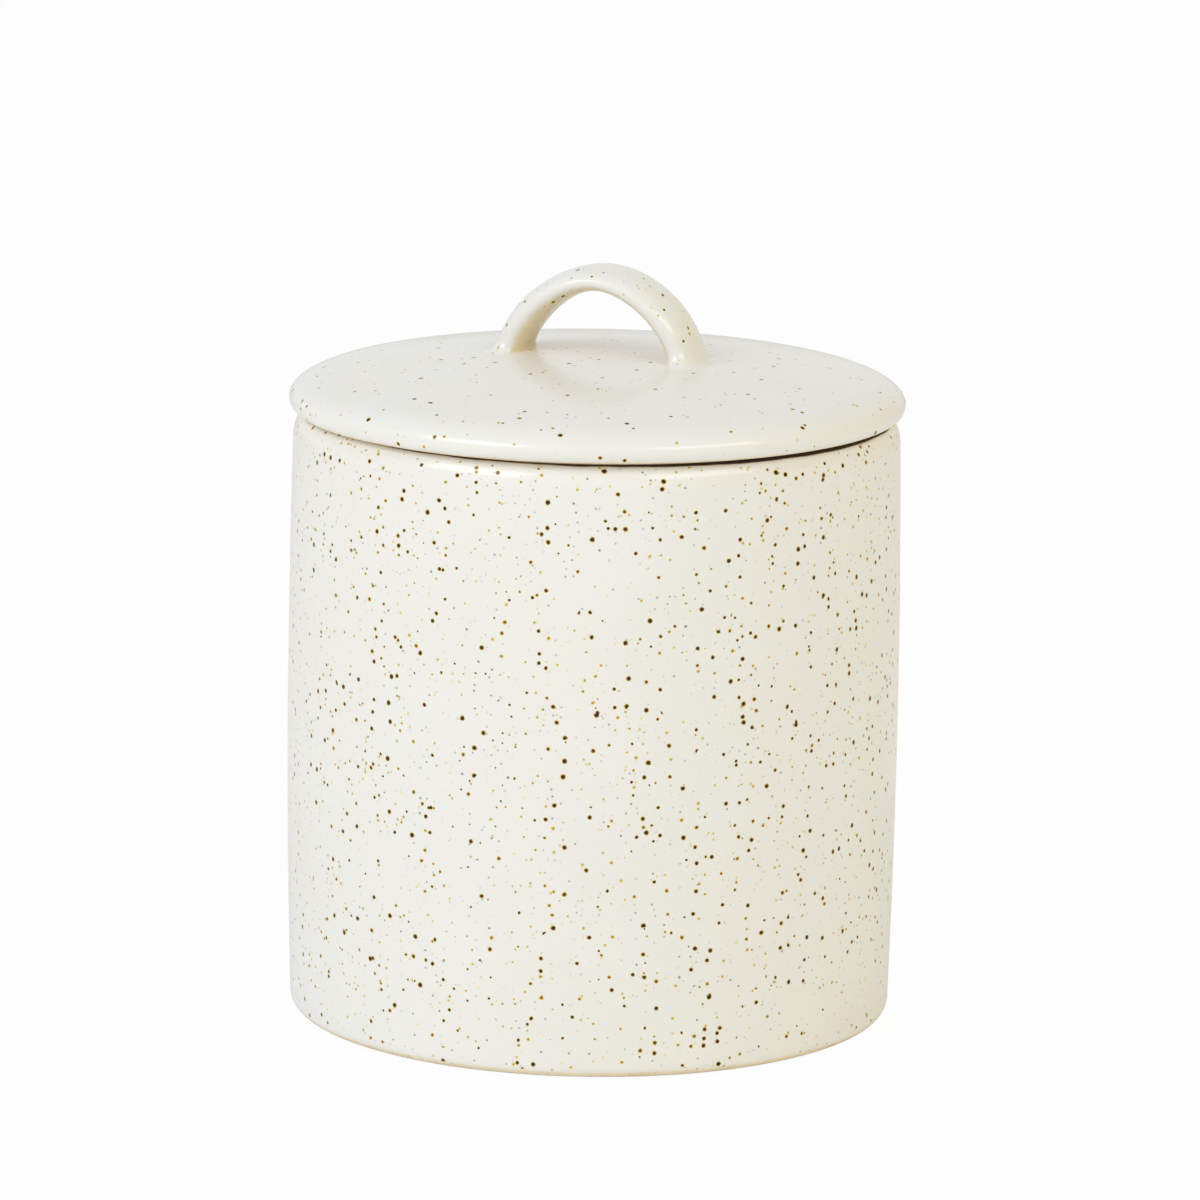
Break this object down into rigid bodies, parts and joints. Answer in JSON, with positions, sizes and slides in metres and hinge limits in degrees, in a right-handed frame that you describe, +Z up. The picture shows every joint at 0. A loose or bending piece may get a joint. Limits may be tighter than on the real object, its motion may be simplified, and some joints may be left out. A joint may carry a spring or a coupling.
{
  "type": "lidded stoneware jar",
  "caption": "Straight-sided round stoneware storage jar with a speckled glaze and a domed lift-off lid that carries an arched strap handle.",
  "frame": {"origin": "on the jar's axis, in the plane of the foot ring that it stands on", "axes": "+Z up along the jar's axis, +X along the line through the handle's two feet, +Y through the gap under the handle"},
  "size_m": [0.122, 0.122, 0.15],
  "materials": {
    "body_glaze": "satin off-white stoneware glaze with black-brown, ochre and grey iron specks, bare tan clay at the foot and the rim",
    "lid_glaze": "satin off-white stoneware glaze with fewer and fainter specks, bare tan clay under the edge",
    "handle_glaze": "satin off-white stoneware glaze with a few dark specks"
  },
  "bodies": {
    "jar": {"jar_body": "body_glaze"},
    "lid_assembly": {"lid": "lid_glaze", "lid_handle": "handle_glaze"}
  },
  "joints": [
    {"name": "lid_lift", "type": "slide", "parent": "jar", "child": "lid_assembly", "axis": [0, 0, 1], "range_m": [0, 0.09]}
  ]
}
